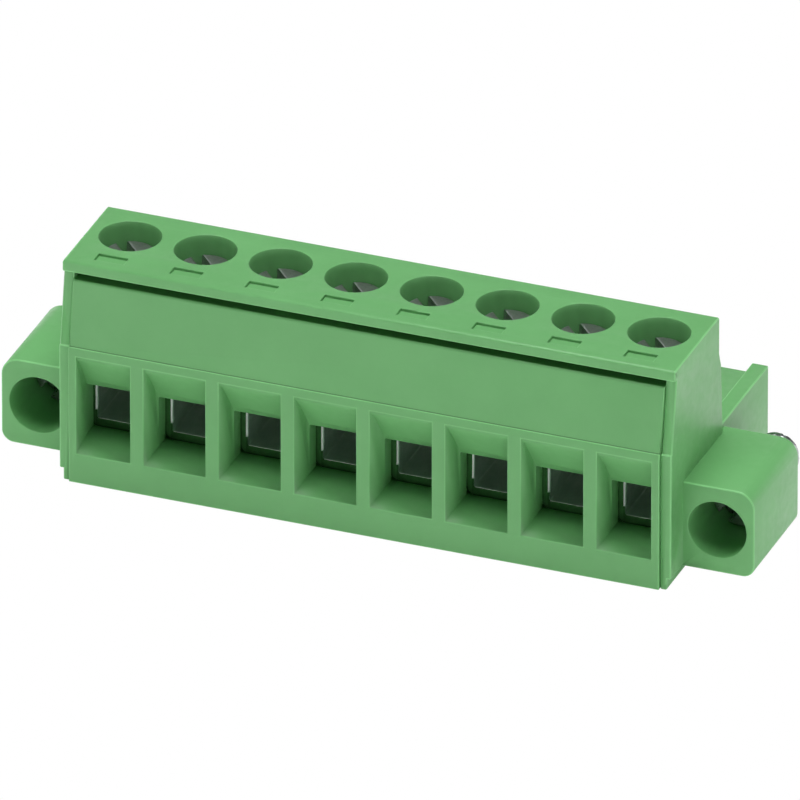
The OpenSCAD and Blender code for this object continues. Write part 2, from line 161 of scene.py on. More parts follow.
def makeMouldSkin(pattern):
    group, start, end = newGroup(
        "mouldSkin",
        [("Vector", "NodeSocketVector", None), ("Pit Size", "NodeSocketFloat", 0.1),
         ("Cloud Size", "NodeSocketFloat", 3.0)],
        [("Height", "NodeSocketFloat"), ("Shade", "NodeSocketFloat"), ("Gloss", "NodeSocketFloat")])
    place = start.outputs["Vector"]
    pitScale = mathNode(group, "DIVIDE", perMetre, start.outputs["Pit Size"])
    swellScale = mathNode(group, "MULTIPLY", pitScale, pattern["swellScale"])
    cloudScale = mathNode(group, "DIVIDE", perMetre, start.outputs["Cloud Size"])
    pits = noiseNode(group, place, pitScale, pattern["pitDetail"], pattern["pitRough"])
    swells = noiseNode(group, place, swellScale, pattern["swellDetail"], pattern["swellRough"])
    clouds = noiseNode(group, place, cloudScale, pattern["cloudDetail"], pattern["cloudRough"])
    height = mathNode(group, "ADD", mathNode(group, "MULTIPLY", pits, pattern["pitHeight"]),
                      mathNode(group, "MULTIPLY", swells, pattern["swellHeight"]))
    group.links.new(height, end.inputs["Height"])
    group.links.new(mapRange(group, clouds, *pattern["range"], 0.0, 1.0), end.inputs["Shade"])
    group.links.new(mapRange(group, swells, *pattern["range"], 0.0, 1.0), end.inputs["Gloss"])
    return group


# Lines drawn along a strip or bar by its rolling: noise squeezed across them
rolledPattern = {
    "squeeze": (1.0, 0.06, 1.0),    # the lines run along Y
    "lineDetail": 2.0, "lineRough": 0.6, "lineShare": 0.4,
    "spotScale": 0.08,              # as a share of the lines' scale
    "spotDetail": 4.0, "spotRough": 0.6, "spotShare": 0.6,
    "range": (0.35, 0.65),
}


def makeRolledLines(pattern):
    group, start, end = newGroup(
        "rolledLines",
        [("Vector", "NodeSocketVector", None), ("Line Width", "NodeSocketFloat", 0.05)],
        [("Height", "NodeSocketFloat"), ("Shade", "NodeSocketFloat")])
    place = start.outputs["Vector"]
    scale = mathNode(group, "DIVIDE", perMetre, start.outputs["Line Width"])
    spotScale = mathNode(group, "MULTIPLY", scale, pattern["spotScale"])
    squeezed = addNode(group, "ShaderNodeMapping", Vector=place, Scale=pattern["squeeze"]).outputs[0]
    lines = noiseNode(group, squeezed, scale, pattern["lineDetail"], pattern["lineRough"])
    spots = noiseNode(group, place, spotScale, pattern["spotDetail"], pattern["spotRough"])
    blend = mathNode(group, "ADD", mathNode(group, "MULTIPLY", lines, pattern["lineShare"]),
                     mathNode(group, "MULTIPLY", spots, pattern["spotShare"]))
    group.links.new(lines, end.inputs["Height"])
    group.links.new(mapRange(group, blend, *pattern["range"], 0.0, 1.0), end.inputs["Shade"])
    return group


# Rings left by turning a screw head: a wave of the distance from the screw's own axis, broken by noise
turnedPattern = {
    "turnPerWidth": 6283.0,         # radians in a turn, times the millimetres in a metre
    "wanderScale": 1800.0, "wanderDetail": 3.0, "wanderRough": 0.6,
    "wanderTurn": 5.0,              # radians by which the noise shifts the wave
    "waveShare": 0.4,
    "range": (0.35, 0.65),
}


def makeTurnedRings(pattern):
    group, start, end = newGroup(
        "turnedRings",
        [("Place", "NodeSocketVector", None), ("Ring Width", "NodeSocketFloat", 0.08)],
        [("Height", "NodeSocketFloat"), ("Shade", "NodeSocketFloat")])
    place = start.outputs["Place"]
    reach = addNode(group, "ShaderNodeVectorMath", {"operation": "LENGTH"}, i0=place).outputs["Value"]
    turns = mathNode(group, "DIVIDE", mathNode(group, "MULTIPLY", reach, pattern["turnPerWidth"]),
                     start.outputs["Ring Width"])
    wander = noiseNode(group, place, pattern["wanderScale"], pattern["wanderDetail"], pattern["wanderRough"])
    shift = mathNode(group, "MULTIPLY", wander, pattern["wanderTurn"])
    wave = mathNode(group, "SINE", mathNode(group, "ADD", turns, shift))
    height = mathNode(group, "ADD", mathNode(group, "MULTIPLY", wave, pattern["waveShare"]), wander)
    group.links.new(height, end.inputs["Height"])
    group.links.new(mapRange(group, wander, *pattern["range"], 0.0, 1.0), end.inputs["Shade"])
    return group


groups = {"mouldSkin": makeMouldSkin(skinPattern), "rolledLines": makeRolledLines(rolledPattern),
          "turnedRings": makeTurnedRings(turnedPattern)}


def newMaterial(name, shader):
    # A material with its Principled shader, whose plain values are given by socket name
    material = bpy.data.materials.new(name)
    material.use_nodes = True
    tree = material.node_tree
    principled = tree.nodes["Principled BSDF"]
    for label, value in shader.items():
        principled.inputs[label].default_value = value
    return material, tree, principled


def placeGroup(tree, name, vector, **values):
    node = tree.nodes.new("ShaderNodeGroup")
    node.node_tree = groups[name]
    tree.links.new(vector, node.inputs[0])
    for label, value in values.items():
        node.inputs[label.replace("_", " ")].default_value = value
    return node


def bumpInto(tree, principled, height, depth):
    bump = addNode(tree, "ShaderNodeBump", Strength=1.0, Distance=depth * mm, Height=height)
    tree.links.new(bump.outputs[0], principled.inputs["Normal"])


def mouldedGreen(name, look):
    # A look with a painted highlight colour and a painted shade colour takes them on the roundings where the
    # painted-light attribute is above and below zero
    material, tree, principled = newMaterial(name, {"IOR": look["ior"], "Specular IOR Level": look["specular"],
                                                    "Roughness": look["rough"]})
    place = addNode(tree, "ShaderNodeTexCoord").outputs["Object"]
    skin = placeGroup(tree, "mouldSkin", place, Pit_Size=look["pitSize"], Cloud_Size=look["cloudSize"])
    colour = mixColour(tree, skin.outputs["Shade"], look["dark"], look["light"])
    if "paintedHighlight" in look:
        paintedLight = addNode(tree, "ShaderNodeAttribute", {"attribute_name": "edgePaintedLight"}).outputs["Fac"]
        colour = mixColour(tree, paintedLight, colour, look["paintedHighlight"])
        colour = mixColour(tree, mathNode(tree, "MULTIPLY", paintedLight, -1.0), colour, look["paintedShade"])
    tree.links.new(colour, principled.inputs["Base Color"])
    rough = mapRange(tree, skin.outputs["Gloss"], 0.0, 1.0, look["rough"] - look["roughSpread"],
                     look["rough"] + look["roughSpread"])
    tree.links.new(rough, principled.inputs["Roughness"])
    bumpInto(tree, principled, skin.outputs["Height"], look["pitDepth"])
    return material


metalWear = {"dull": 0.08, "polished": 0.06}    # rougher in the dark shade and smoother in the light one


def wearMetal(tree, principled, pattern, look):
    shade = pattern.outputs["Shade"]
    tree.links.new(mixColour(tree, shade, look["dark"], look["light"]), principled.inputs["Base Color"])
    rough = mapRange(tree, shade, 0.0, 1.0, look["rough"] + metalWear["dull"],
                     look["rough"] - metalWear["polished"])
    tree.links.new(rough, principled.inputs["Roughness"])
    bumpInto(tree, principled, pattern.outputs["Height"], look["depth"])


def platedMetal(name, look):
    # Rolled strip or bar with a dull plating
    material, tree, principled = newMaterial(name, {"Metallic": look["metal"]})
    place = addNode(tree, "ShaderNodeTexCoord").outputs["Object"]
    wearMetal(tree, principled, placeGroup(tree, "rolledLines", place, Line_Width=look["lineWidth"]), look)
    return material


def turnedMetal(name, look):
    # Turned and plated screw: its pattern runs round the screw's own axis, which the axisPlace attribute gives
    material, tree, principled = newMaterial(name, {"Metallic": 1.0})
    place = addNode(tree, "ShaderNodeAttribute", {"attribute_name": "axisPlace"}).outputs["Vector"]
    wearMetal(tree, principled, placeGroup(tree, "turnedRings", place, Ring_Width=look["ringWidth"]), look)
    return material


# Looks: sizes and depths of the patterns in mm
mouldLook = {
    "dark": (0.128, 0.372, 0.128, 1), "light": (0.142, 0.402, 0.142, 1), "rough": 0.42, "roughSpread": 0.05,
    "ior": 1.46, "specular": 0.44, "pitSize": 0.11, "pitDepth": 0.0022, "cloudSize": 4.0,
}
coverLook = dict(mouldLook, dark=(0.121, 0.35, 0.121, 1), light=(0.134, 0.377, 0.134, 1))
# The rounded edges' lighter colour is a painted highlight, and their darker one a painted shade in hollows
edgeLook = dict(mouldLook, paintedHighlight=(0.2, 0.52, 0.2, 1), paintedShade=(0.03, 0.1, 0.03, 1), rough=0.36, pitDepth=0.001)
# A darker green painted as shade in the slot under the lip
slotPaintedShadeLook = dict(mouldLook, dark=(0.08, 0.27, 0.075, 1), light=(0.09, 0.29, 0.085, 1))
# A paler green painted as light on the driver holes' walls
borePaintedLightLook = dict(mouldLook, dark=(0.17, 0.47, 0.17, 1), light=(0.185, 0.5, 0.185, 1))
cageLook = {
    "metal": 0.6, "dark": (0.34, 0.5, 0.39, 1), "light": (0.4, 0.56, 0.45, 1), "rough": 0.34,
    "lineWidth": 0.06, "depth": 0.0004,
}
# The cut faces' dark green is painted shade and a painted reflection of the green mouldings; the second, darker
# green is deeper painted shade
cageCutShadeLook = {
    "metal": 1.0, "dark": (0.036, 0.125, 0.036, 1), "light": (0.046, 0.15, 0.046, 1), "rough": 0.5,
    "lineWidth": 0.05, "depth": 0.0006,
}
cageCutDeepShadeLook = dict(cageCutShadeLook, metal=0.8, dark=(0.015, 0.075, 0.015, 1), light=(0.02, 0.092, 0.02, 1), rough=0.6)
# A near-white painted highlight on a strip of each upright bevel and on the floor's rounded ends
cageGlintLook = dict(cageCutShadeLook, metal=0.25, dark=(0.93, 0.95, 0.94, 1), light=(0.97, 0.98, 0.97, 1), depth=0.001)
tinLook = {
    "metal": 1.0, "dark": (0.5, 0.49, 0.46, 1), "light": (0.66, 0.65, 0.62, 1), "rough": 0.36,
    "lineWidth": 0.08, "depth": 0.003,
}
screwLook = {
    "dark": (0.24, 0.26, 0.25, 1), "light": (0.34, 0.36, 0.35, 1), "rough": 0.42, "ringWidth": 0.12,
    "depth": 0.003,
}
fixingLook = {
    "dark": (0.36, 0.38, 0.38, 1), "light": (0.46, 0.48, 0.48, 1), "rough": 0.3, "ringWidth": 0.12,
    "depth": 0.002,
}
materials = {
    "housing": mouldedGreen("housingGreen", mouldLook),
    "cover": mouldedGreen("coverGreen", coverLook),
    "edge": mouldedGreen("mouldedEdge", edgeLook),
    "slot": mouldedGreen("slotPaintedShade", slotPaintedShadeLook),
    "bore": mouldedGreen("borePaintedLight", borePaintedLightLook),
    "cage": platedMetal("cageSteel", cageLook),
    "cageFace": platedMetal("cageCutPaintedShade", cageCutShadeLook),
    "cageLow": platedMetal("cageCutLowPaintedShade", cageCutDeepShadeLook),
    "cageGlint": platedMetal("cagePaintedGlint", cageGlintLook),
    "screw": turnedMetal("clampScrewSteel", screwLook),
    "fixing": turnedMetal("fixingScrewNickel", fixingLook),
    "contact": platedMetal("contactTin", tinLook),
}
print("materials:", len(materials))


# Mesh helpers
weld = 1e-7                  # m, corners of the CAD mesh nearer than this are one
flat = 0.5                   # degrees, faces that turn by less are joined up
crease = 28.0                # degrees, an edge that turns by more and isn't rounded stays sharp


def within(values, low, high):
    return (values > low) & (values < high)


def nearestPole(x):
    return np.abs(x[:, None] - poleX).min(1)


def readValues(items, label, width=1, kind=float):
    values = np.empty(len(items) * width, kind)
    items.foreach_get(label, values)
    return values.reshape(-1, width) if width > 1 else values


def cutPlane(bm, place, away, clear=False):
    bmesh.ops.bisect_plane(bm, geom=bm.verts[:] + bm.edges[:] + bm.faces[:], plane_co=place, plane_no=away,
                           clear_outer=clear)


def mergedNode(node, cut=None):
    # A CAD node's mesh, merged and with its flat faces joined up; cut keeps what lies on one side of a plane
    bm = bmesh.new()
    bm.from_mesh(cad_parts[node].data)
    bmesh.ops.remove_doubles(bm, verts=bm.verts, dist=weld)
    if cut:
        cutPlane(bm, *cut, clear=True)
        bmesh.ops.holes_fill(bm, edges=[e for e in bm.edges if e.is_boundary])
    bmesh.ops.dissolve_limit(bm, angle_limit=math.radians(flat), verts=bm.verts, edges=bm.edges)
    return bm


def linkPiece(name, bm, body, finishes, replaced):
    mesh = bpy.data.meshes.new(name)
    bm.to_mesh(mesh)
    bm.free()
    piece = bpy.data.objects.new(name, mesh)
    bpy.context.scene.collection.objects.link(piece)
    for finish in finishes:
        mesh.materials.append(materials[finish])
    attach(piece, body)
    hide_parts(*replaced)
    return piece


def edgeTable(mesh):
    # Middle of each edge in mm, the angle between its two faces in degrees, and if it stands out or is a hollow:
    # it stands out where the second face turns down from the inner side of the first
    co = readValues(mesh.vertices, "co", 3) / mm
    corner = readValues(mesh.loops, "vertex_index", 1, np.int32)
    edgeOf = readValues(mesh.loops, "edge_index", 1, np.int32)
    start = readValues(mesh.polygons, "loop_start", 1, np.int32)
    total = readValues(mesh.polygons, "loop_total", 1, np.int32)
    normal = readValues(mesh.polygons, "normal", 3)
    faceOf = np.repeat(np.arange(len(start)), total)
    following = np.arange(len(corner)) + 1
    following[start + total - 1] = start
    along = co[corner[following]] - co[corner]
    middle = (co[corner[following]] + co[corner]) / 2
    order = np.argsort(edgeOf, kind="stable")
    one, other = order[0::2], order[1::2]
    n1, n2 = normal[faceOf[one]], normal[faceOf[other]]
    angle = np.degrees(np.arccos(np.clip((n1 * n2).sum(1), -1, 1)))
    standsOut = (n2 * np.cross(n1, along[one])).sum(1) < 0
    return middle[one], angle, standsOut


def faceTable(mesh):
    # Middle of each face in mm, and its normal
    return readValues(mesh.polygons, "center", 3) / mm, readValues(mesh.polygons, "normal", 3)


def paintFaces(mesh, *choices):
    # Each choice is a mask and the number of a material; a later one goes over an earlier one
    finish = np.zeros(len(mesh.polygons), np.int32)
    for chosen, number in choices:
        finish[chosen] = number
    mesh.polygons.foreach_set("material_index", finish)


def markPaintedLight(mesh, widths, paintedLight):
    # How much painted highlight (above zero) or painted shade (below zero) each rounding takes: a corner takes the
    # highest of its edges, or the lowest if that is below zero
    ends = readValues(mesh.edges, "vertices", 2, np.int32).ravel()
    given = np.repeat(np.where(widths > 0, paintedLight, 0.0), 2).astype(np.float32)
    highest = np.zeros(len(mesh.vertices), np.float32)
    lowest = highest.copy()
    np.maximum.at(highest, ends, given)
    np.minimum.at(lowest, ends, given)
    value = np.where(lowest < 0, lowest, highest)
    mesh.attributes.new("edgePaintedLight", "FLOAT", "POINT").data.foreach_set("value", value)


def roundEdges(piece, widths, angle, largest, segments=3, edgeMaterial=-1):
    # widths gives each edge's rounding in mm
    mesh = piece.data
    weight = mesh.attributes.new("bevel_weight_edge", "FLOAT", "EDGE")
    weight.data.foreach_set("value", (widths / largest).astype(np.float32))
    sharp = mesh.attributes.new("sharp_edge", "BOOLEAN", "EDGE")
    sharp.data.foreach_set("value", (angle > crease) & (widths <= 0))
    mesh.polygons.foreach_set("use_smooth", np.ones(len(mesh.polygons), bool))
    bevel = piece.modifiers.new("edgeRounding", "BEVEL")
    bevel.limit_method = "WEIGHT"
    bevel.offset_type = "OFFSET"
    bevel.width = largest * mm
    bevel.segments = segments
    bevel.use_clamp_overlap = False
    bevel.loop_slide = False
    bevel.harden_normals = True
    bevel.material = edgeMaterial
    mesh.update()


# The faces in the slot under the lip take a painted shade, darker than the moulding; its long faces have their
# middle near the row's
slotPlace = {"y": (-4.45, -3.25), "reach": 1.0}    # mm


def slotFaces(places, low, high):
    x, y, z = places.T
    return within(z, low, high) & within(y, *slotPlace["y"]) & (np.abs(x) < slotPlace["reach"])


# Housing
housingDetail = {
    "plain": 0.09,           # mm, rounding of the outer edges
    "lip": 0.13,             # upper front edge, over the cover
    "hole": 0.06,            # rims of the driver holes and screw wells
    "port": 0.05,            # rims of the pin ports
    "recess": 0.03,          # back and left rims of the marker recesses
    "recessLit": 0.055,      # their front and right rims
    "turn": 32.0,            # degrees, least turn that is rounded
    "rimPaintedLight": 1.0,         # painted highlight on a rounding
    "holePaintedLight": 0.15,
    "recessPaintedShade": -0.25,    # painted shade on a rounding
    "flush": 0.01,           # mm, how near a place is to the face that it lies on
    "close": 0.05,
    "near": 0.1,
    "rowInset": 0.3,         # from the cover's side to the row of chambers
    "chamberLength": 5.8,    # behind the contacts' front
    "chamberZ": (2.2, 12.6),
    "coverTop": 0.9,         # depth below the top where the cover hides the wall behind it
    "cellHalf": 1.6,         # sockets' cells
    "cellStart": 3.1,
    "cellZ": (2, 5.4),
    "noseFace": 0.9,         # thickness of the nose's face
    "grooveX": 20.3,         # bottom of the snap grooves in the side walls
    "grooveY": (-4.6, -3.5),
    "grooveZ": (3, 8.2),
    "topDepth": 0.25,        # of what is cut into the top
    "recessHalf": 1.05,
    "recessY": (-4.0, -2.6),
    "recessSide": 0.8,       # beyond it lie a recess's left and right rims
    "recessDepth": 0.6,      # beyond it, from the back, lies a recess's front rim
    "holeReach": 2.1,
    "portHalf": 1.3,
    "wellReach": 2.05,
    "wellFloor": (2, 4),
    "wallTop": 0.5,          # depth below the top where the side walls' inner edges end
    "boreReach": 2.0,        # driver holes' walls
    "boreLow": 11.0,         # height from which they are seen
    "upright": 0.2,          # a face is upright if its normal rises by less
    "slotZ": (12.4, 14.6),   # height of the slot under the lip
}


def hiddenEdges(x, y, z, detail):
    # Edges in the chambers, behind the cover, in the sockets' cells and in the snap grooves
    innerX = coverHigh[0] - detail["rowInset"]
    insideRow = np.abs(x) < innerX
    chamber = (insideRow & within(y, coverHigh[1] - detail["near"], contactFront + detail["chamberLength"])
               & within(z, *detail["chamberZ"]))
    behindCover = insideRow & (y < coverHigh[1] + detail["near"]) & (z < topZ - detail["coverTop"])
    cell = ((nearestPole(x) < detail["cellHalf"]) & within(y, detail["cellStart"], noseY - detail["noseFace"])
            & within(z, *detail["cellZ"]))
    groove = (within(np.abs(x), innerX, detail["grooveX"]) & within(y, *detail["grooveY"])
              & within(z, *detail["grooveZ"]))
    return chamber | behindCover | cell | groove


def makeHousing(detail):
    piece = linkPiece("housingMoulding", mergedNode("housing"), "housing",
                      ["housing", "edge", "slot", "bore"], ["housing"])
    middle, angle, standsOut = edgeTable(piece.data)
    x, y, z = middle.T
    fromPole, close = nearestPole(x), detail["close"]
    widths = np.where(standsOut & (angle > detail["turn"]), detail["plain"], 0.0)
    widths[hiddenEdges(x, y, z, detail)] = 0
    top = z > topZ - detail["topDepth"]
    widths[top & (fromPole < detail["recessHalf"]) & within(y, *detail["recessY"])] = detail["recess"]
    hole = top & (np.hypot(fromPole, y) < detail["holeReach"])
    widths[hole & (widths > 0)] = detail["hole"]
    port = ((fromPole < detail["portHalf"]) & (y > noseY - detail["noseFace"])
            & (np.abs(z - fixingZ) < detail["portHalf"]))
    widths[port] = np.where(y[port] > noseY - close, detail["port"], 0)
    well = np.hypot(np.abs(x) - fixingX, z - fixingZ) < detail["wellReach"]
    widths[well & (widths > 0)] = detail["hole"]
    widths[well & within(y, *detail["wellFloor"])] = 0
    besideCover = (np.abs(np.abs(x) - coverHigh[0]) < detail["near"]) & (y < coverHigh[1])
    widths[besideCover & (z < topZ - detail["wallTop"])] = 0
    rim = (z > topZ - detail["flush"]) & (widths > 0)
    widths[rim & (y < y[rim].min() + close)] = detail["lip"]

    # Every rounding takes a painted highlight, faint in the holes and wells; the recesses' back and left rims take
    # a painted shade, and the front and right ones a painted highlight
    recess = widths == detail["recess"]
    backY = y[recess].max()
    offPole = x - poleX[np.abs(x[:, None] - poleX).argmin(1)]
    shaded = recess & ((y > backY - close) | (offPole < -detail["recessSide"]))
    lit = recess & ((y < backY - detail["recessDepth"]) | (offPole > detail["recessSide"]))
    paintedLight = np.where(hole | well, detail["holePaintedLight"], detail["rimPaintedLight"])
    paintedLight[shaded] = detail["recessPaintedShade"]
    paintedLight[lit] = detail["rimPaintedLight"]
    widths[lit] = detail["recessLit"]

    # The driver holes' walls take a paler colour than the skin outside, painted light that lifts their shade; the
    # slot under the lip takes a painted shade
    places, normals = faceTable(piece.data)
    bore = ((np.hypot(nearestPole(places[:, 0]), places[:, 1]) < detail["boreReach"])
            & (places[:, 2] > detail["boreLow"]) & (np.abs(normals[:, 2]) < detail["upright"]))
    paintFaces(piece.data, (slotFaces(places, *detail["slotZ"]), 2), (bore, 3))
    markPaintedLight(piece.data, widths, paintedLight)
    roundEdges(piece, widths, angle, detail["lip"], edgeMaterial=1)


# Wire cover
coverDetail = {
    "plain": 0.08,           # mm, rounding of the outer edges
    "mouth": 0.055,          # rims of the wire entries
    "fine": 0.045,           # where the frame's top is already cut off at an angle
    "seam": 0.045,           # edges along the side walls
    "foot": 0.04,            # hollow along the panel's foot, and the ledge before it
    "turn": 32.0,            # degrees, least turn that is rounded
    "rimPaintedLight": 1.0,         # painted highlight on a rounding
    "mouthPaintedLight": 0.3,
    "ledgePaintedLight": 0.5,
    "footPaintedShade": -0.8,       # painted shade in the hollow at the panel's foot
    "close": 0.05,           # mm, how near a place is to the face that it lies on
    "sidePush": 0.037,       # how far the sides stand out, into their clearance of 0.04
    "sideMatch": 0.005,      # a corner nearer to the side than this belongs to it
    "sideLow": 0.1,          # the side is widest below this height
    "footZ": 9.58,           # height of the ledge at the panel's foot
    "footMatch": 0.02,       # a place nearer to that height than this belongs to it
    "footY": -5.2,           # the foot lies in front of this
    "footLength": 30.0,      # least length of the hollow's edge
    "footFade": 0.012,       # share of the row's width over which the hollow's painted shade fades at each end
    "frameTop": 9.3,         # the frame's upper edges lie above this
    "frameDepth": 0.2,
    "mouthZ": (1.9, 9.1),
    "mouthInset": 0.3,       # from the cover's side to the outermost entry
    "sideDepth": 0.35,       # of the edges that belong to the seam and the snap ridges
    "ridgeY": (-4.4, -3.6),
    "ridgeZ": (3, 8.2),
    "slotDepth": 1.3,        # below the top, where the slot under the lip begins
}


def shapeCover(bm, detail):
    # The long hollow at the panel's foot, which takes a painted shade, is divided near both its ends, and the
    # sides are moved outwards
    footLines = [e for e in bm.edges if not e.is_convex and e.calc_length() > detail["footLength"] * mm
                 and all(abs(v.co.z / mm - detail["footZ"]) < detail["footMatch"]
                         and v.co.y / mm < detail["footY"] for v in e.verts)]
    for line in footLines:
        near, far = line.verts
        added = bmesh.utils.edge_split(line, near, detail["footFade"])[1]
        remainder = next(e for e in added.link_edges if far in e.verts)
        bmesh.utils.edge_split(remainder, far, detail["footFade"])
    print("foot lines:", len(footLines))
    sideX = max(v.co.x for v in bm.verts if v.co.z < detail["sideLow"] * mm)
    for v in bm.verts:
        if abs(abs(v.co.x) - sideX) < detail["sideMatch"] * mm:
            v.co.x += math.copysign(detail["sidePush"] * mm, v.co.x)


def makeCover(detail):
    bm = mergedNode("wire_cover")
    shapeCover(bm, detail)
    piece = linkPiece("wireCoverMoulding", bm, "housing", ["cover", "edge", "slot"],
                      ["wire_cover"])
    middle, angle, standsOut = edgeTable(piece.data)
    x, y, z = middle.T
    turned = angle > detail["turn"]
    atFoot = np.abs(z - detail["footZ"]) < detail["footMatch"]
    front = y < coverLow[1] + detail["frameDepth"]
    side = np.abs(x) > coverHigh[0] - detail["sideDepth"]
    widths = np.where(standsOut & turned, detail["plain"], 0.0)
    widths[front & (z > detail["frameTop"])] *= detail["fine"] / detail["plain"]
    mouth = (within(z, *detail["mouthZ"]) & (np.abs(x) < coverHigh[0] - detail["mouthInset"])
             & (y < coverLow[1] + detail["close"]))
    widths[mouth & (widths > 0)] = detail["mouth"]
    widths[y > coverHigh[1] - detail["close"]] = 0
    widths[side & within(y, *detail["ridgeY"]) & within(z, *detail["ridgeZ"])] = 0
    seam = side & (widths > 0)
    widths[seam] = detail["seam"]
    foot = ~standsOut & turned & atFoot & (y < detail["footY"])
    widths[foot] = detail["foot"]
    ledge = front & atFoot & (widths > 0) & ~foot & ~seam
    widths[ledge] = detail["foot"]
    # Painted highlights on the roundings, weaker on the mouths and the ledge, and painted shade in the hollow at
    # the panel's foot
    paintedLight = np.where(mouth, detail["mouthPaintedLight"], detail["rimPaintedLight"])
    paintedLight[ledge] = detail["ledgePaintedLight"]
    paintedLight[foot] = detail["footPaintedShade"]
    # The slot under the lip takes a painted shade
    paintFaces(piece.data, (slotFaces(faceTable(piece.data)[0], topZ - detail["slotDepth"], topZ), 2))
    markPaintedLight(piece.data, widths, paintedLight)
    roundEdges(piece, widths, angle, detail["plain"], edgeMaterial=1)


makeHousing(housingDetail)
makeCover(coverDetail)
print("mouldings made")


# Clamp cages: a strip on each upright bevel and the floor's rounded ends take a painted highlight, and the strip's
# cut ends a painted shade with a painted green reflection
cageDetail = {
    "thickness": 0.6,        # mm, of the strip
    "edge": 0.02,            # rounding of the floor's front and back edges
    "paintedGlint": (0.05, 0.135),  # where the painted highlight strip begins and ends, from the inner face
    "inset": 0.05,           # the floor's edges end this far before the inner faces
    "flush": 0.01,
    "facing": 0.9,           # share of its normal by which a face looks forwards or back
    "slanted": 0.5,          # and by which a bevel looks both ways
    "level": 0.1,            # an upright bevel's normal rises by less
}


def makeCage(i, detail):
    node = f"clamp_cage_{i + 1}"
    innerX = cageHigh[0] - poleX[0] - detail["thickness"]
    glintLow, glintHigh = detail["paintedGlint"]
    bm = mergedNode(node)
    for cutX in (innerX + glintLow, innerX + glintHigh):
        for sign in (-1, 1):
            cutPlane(bm, ((poleX[i] + sign * cutX) * mm, 0, 0), (1, 0, 0))
    piece = linkPiece(f"clampCage{i + 1}", bm, f"cage_{i + 1}",
                      ["cage", "cageGlint", "cageFace", "cageLow"], [node])
    middle, angle, standsOut = edgeTable(piece.data)
    x, y, z = middle.T
    inside = np.abs(x - poleX[i]) < innerX - detail["inset"]
    onFloor = np.abs(z - cageLow[2] - detail["thickness"]) < detail["flush"]
    atEnd = np.abs(np.abs(y) - cageHigh[1]) < detail["flush"]
    widths = np.where(inside & onFloor & atEnd & standsOut, detail["edge"], 0.0)
    places, normals = faceTable(piece.data)
    nx, ny, nz = np.abs(normals).T
    reach = np.abs(places[:, 0] - poleX[i]) - innerX
    bevel = (nx > detail["slanted"]) & (ny > detail["slanted"]) & (nz < detail["level"])
    cutFace, outer = ny > detail["facing"], reach > glintHigh
    # Painted shade on the cut faces and on the bevels beyond the bright strip, darker on the cut faces' parts
    # nearest the inside; a painted highlight on the strip
    paintFaces(piece.data, (cutFace | (bevel & outer), 2), (cutFace & ~outer, 3),
               (bevel & within(reach, glintLow, glintHigh), 1))
    roundEdges(piece, widths, angle, detail["edge"], segments=2, edgeMaterial=1)


for i in range(poles):
    makeCage(i, cageDetail)
print("cages made")


# Threads: radius over (turn, length) is the root radius plus the depth times a ridge, where the ridge is a
# triangle wave of length / pitch - turn with its crest cut flat; a cone at each end holds the radius down
threadForm = {
    "steepness": 1.25,       # above 1 it cuts the crest flat
    "rootFlat": 0.06,        # and this cuts the root flat
    "headCone": 2.0,         # mm of radius per mm of length at the head's end
}


def threadGrid(length, detail):
    around, pitch, root, crest = detail["around"], detail["pitch"], detail["root"], detail["crest"]
    rows = int(length / pitch * detail["perPitch"]) + 1
    along = np.linspace(0, length, rows)[:, None]
    turn = np.arange(around)[None, :] / around
    phase = (along / pitch - turn) % 1
    ridge = np.clip((1 - np.abs(2 * phase - 1)) * threadForm["steepness"] - threadForm["rootFlat"], 0, 1)
    radius = root + (crest - root) * ridge
    radius = np.minimum(radius, crest - detail["tip"] + (length - along))
    radius = np.minimum(radius, root + along * threadForm["headCone"])
    angle = 2 * math.pi * turn
    points = np.stack([radius * np.cos(angle), radius * np.sin(angle), along + 0 * angle], -1).reshape(-1, 3)
    points = np.concatenate([points, [[0, 0, 0], [0, 0, length]]])
    ring = np.arange(around)
    following = np.roll(ring, -1)
    rowStart = np.arange(rows - 1)[:, None] * around
    first, second = (rowStart + ring).ravel(), (rowStart + following).ravel()
    quads = np.stack([first, second, second + around, first + around], 1)
    last = (rows - 1) * around
    low = np.stack([following, ring, np.full(around, rows * around)], 1)
    high = np.stack([last + ring, last + following, np.full(around, rows * around + 1)], 1)
    return points, quads.tolist() + low.tolist() + high.tolist()


def addShell(bm, points, faces):
    mesh = bpy.data.meshes.new("shell")
    mesh.from_pydata((points * mm).tolist(), [], faces)
    bm.from_mesh(mesh)
    bpy.data.meshes.remove(mesh)


def markAxis(mesh, centre):
    # Stores each vertex's place from the middle of the screw's head
    place = readValues(mesh.vertices, "co", 3) - np.array(centre) * mm
    attribute = mesh.attributes.new("axisPlace", "FLOAT_VECTOR", "POINT")
    attribute.data.foreach_set("vector", place.astype(np.float32).ravel())


def finishScrew(piece, detail, isHead, headMiddle):
    # Only the head's edges are rounded
    middle, angle, standsOut = edgeTable(piece.data)
    widths = np.where(standsOut & (angle > detail["turn"]) & isHead(middle), detail["edge"], 0.0)
    roundEdges(piece, widths, angle, detail["edge"], segments=2)
    markAxis(piece.data, headMiddle)


# Clamp screws
clampScrew = {
    "headHeight": 1.6,       # mm
    "root": 1.22,            # radius at the thread's root
    "crest": 1.5,            # and at its crest
    "pitch": 0.5,
    "tip": 0.45,             # cone at the end
    "around": 40,            # points in a turn
    "perPitch": 10,          # rows in a pitch
    "cut": 0.005,            # the head is cut this far above its ledge
    "overlap": 0.02,         # the thread reaches this far into the head
    "headStart": 0.1,        # the head's rounded edges lie above this
    "edge": 0.05,
    "turn": 32.0,            # degrees, least turn that is rounded
}


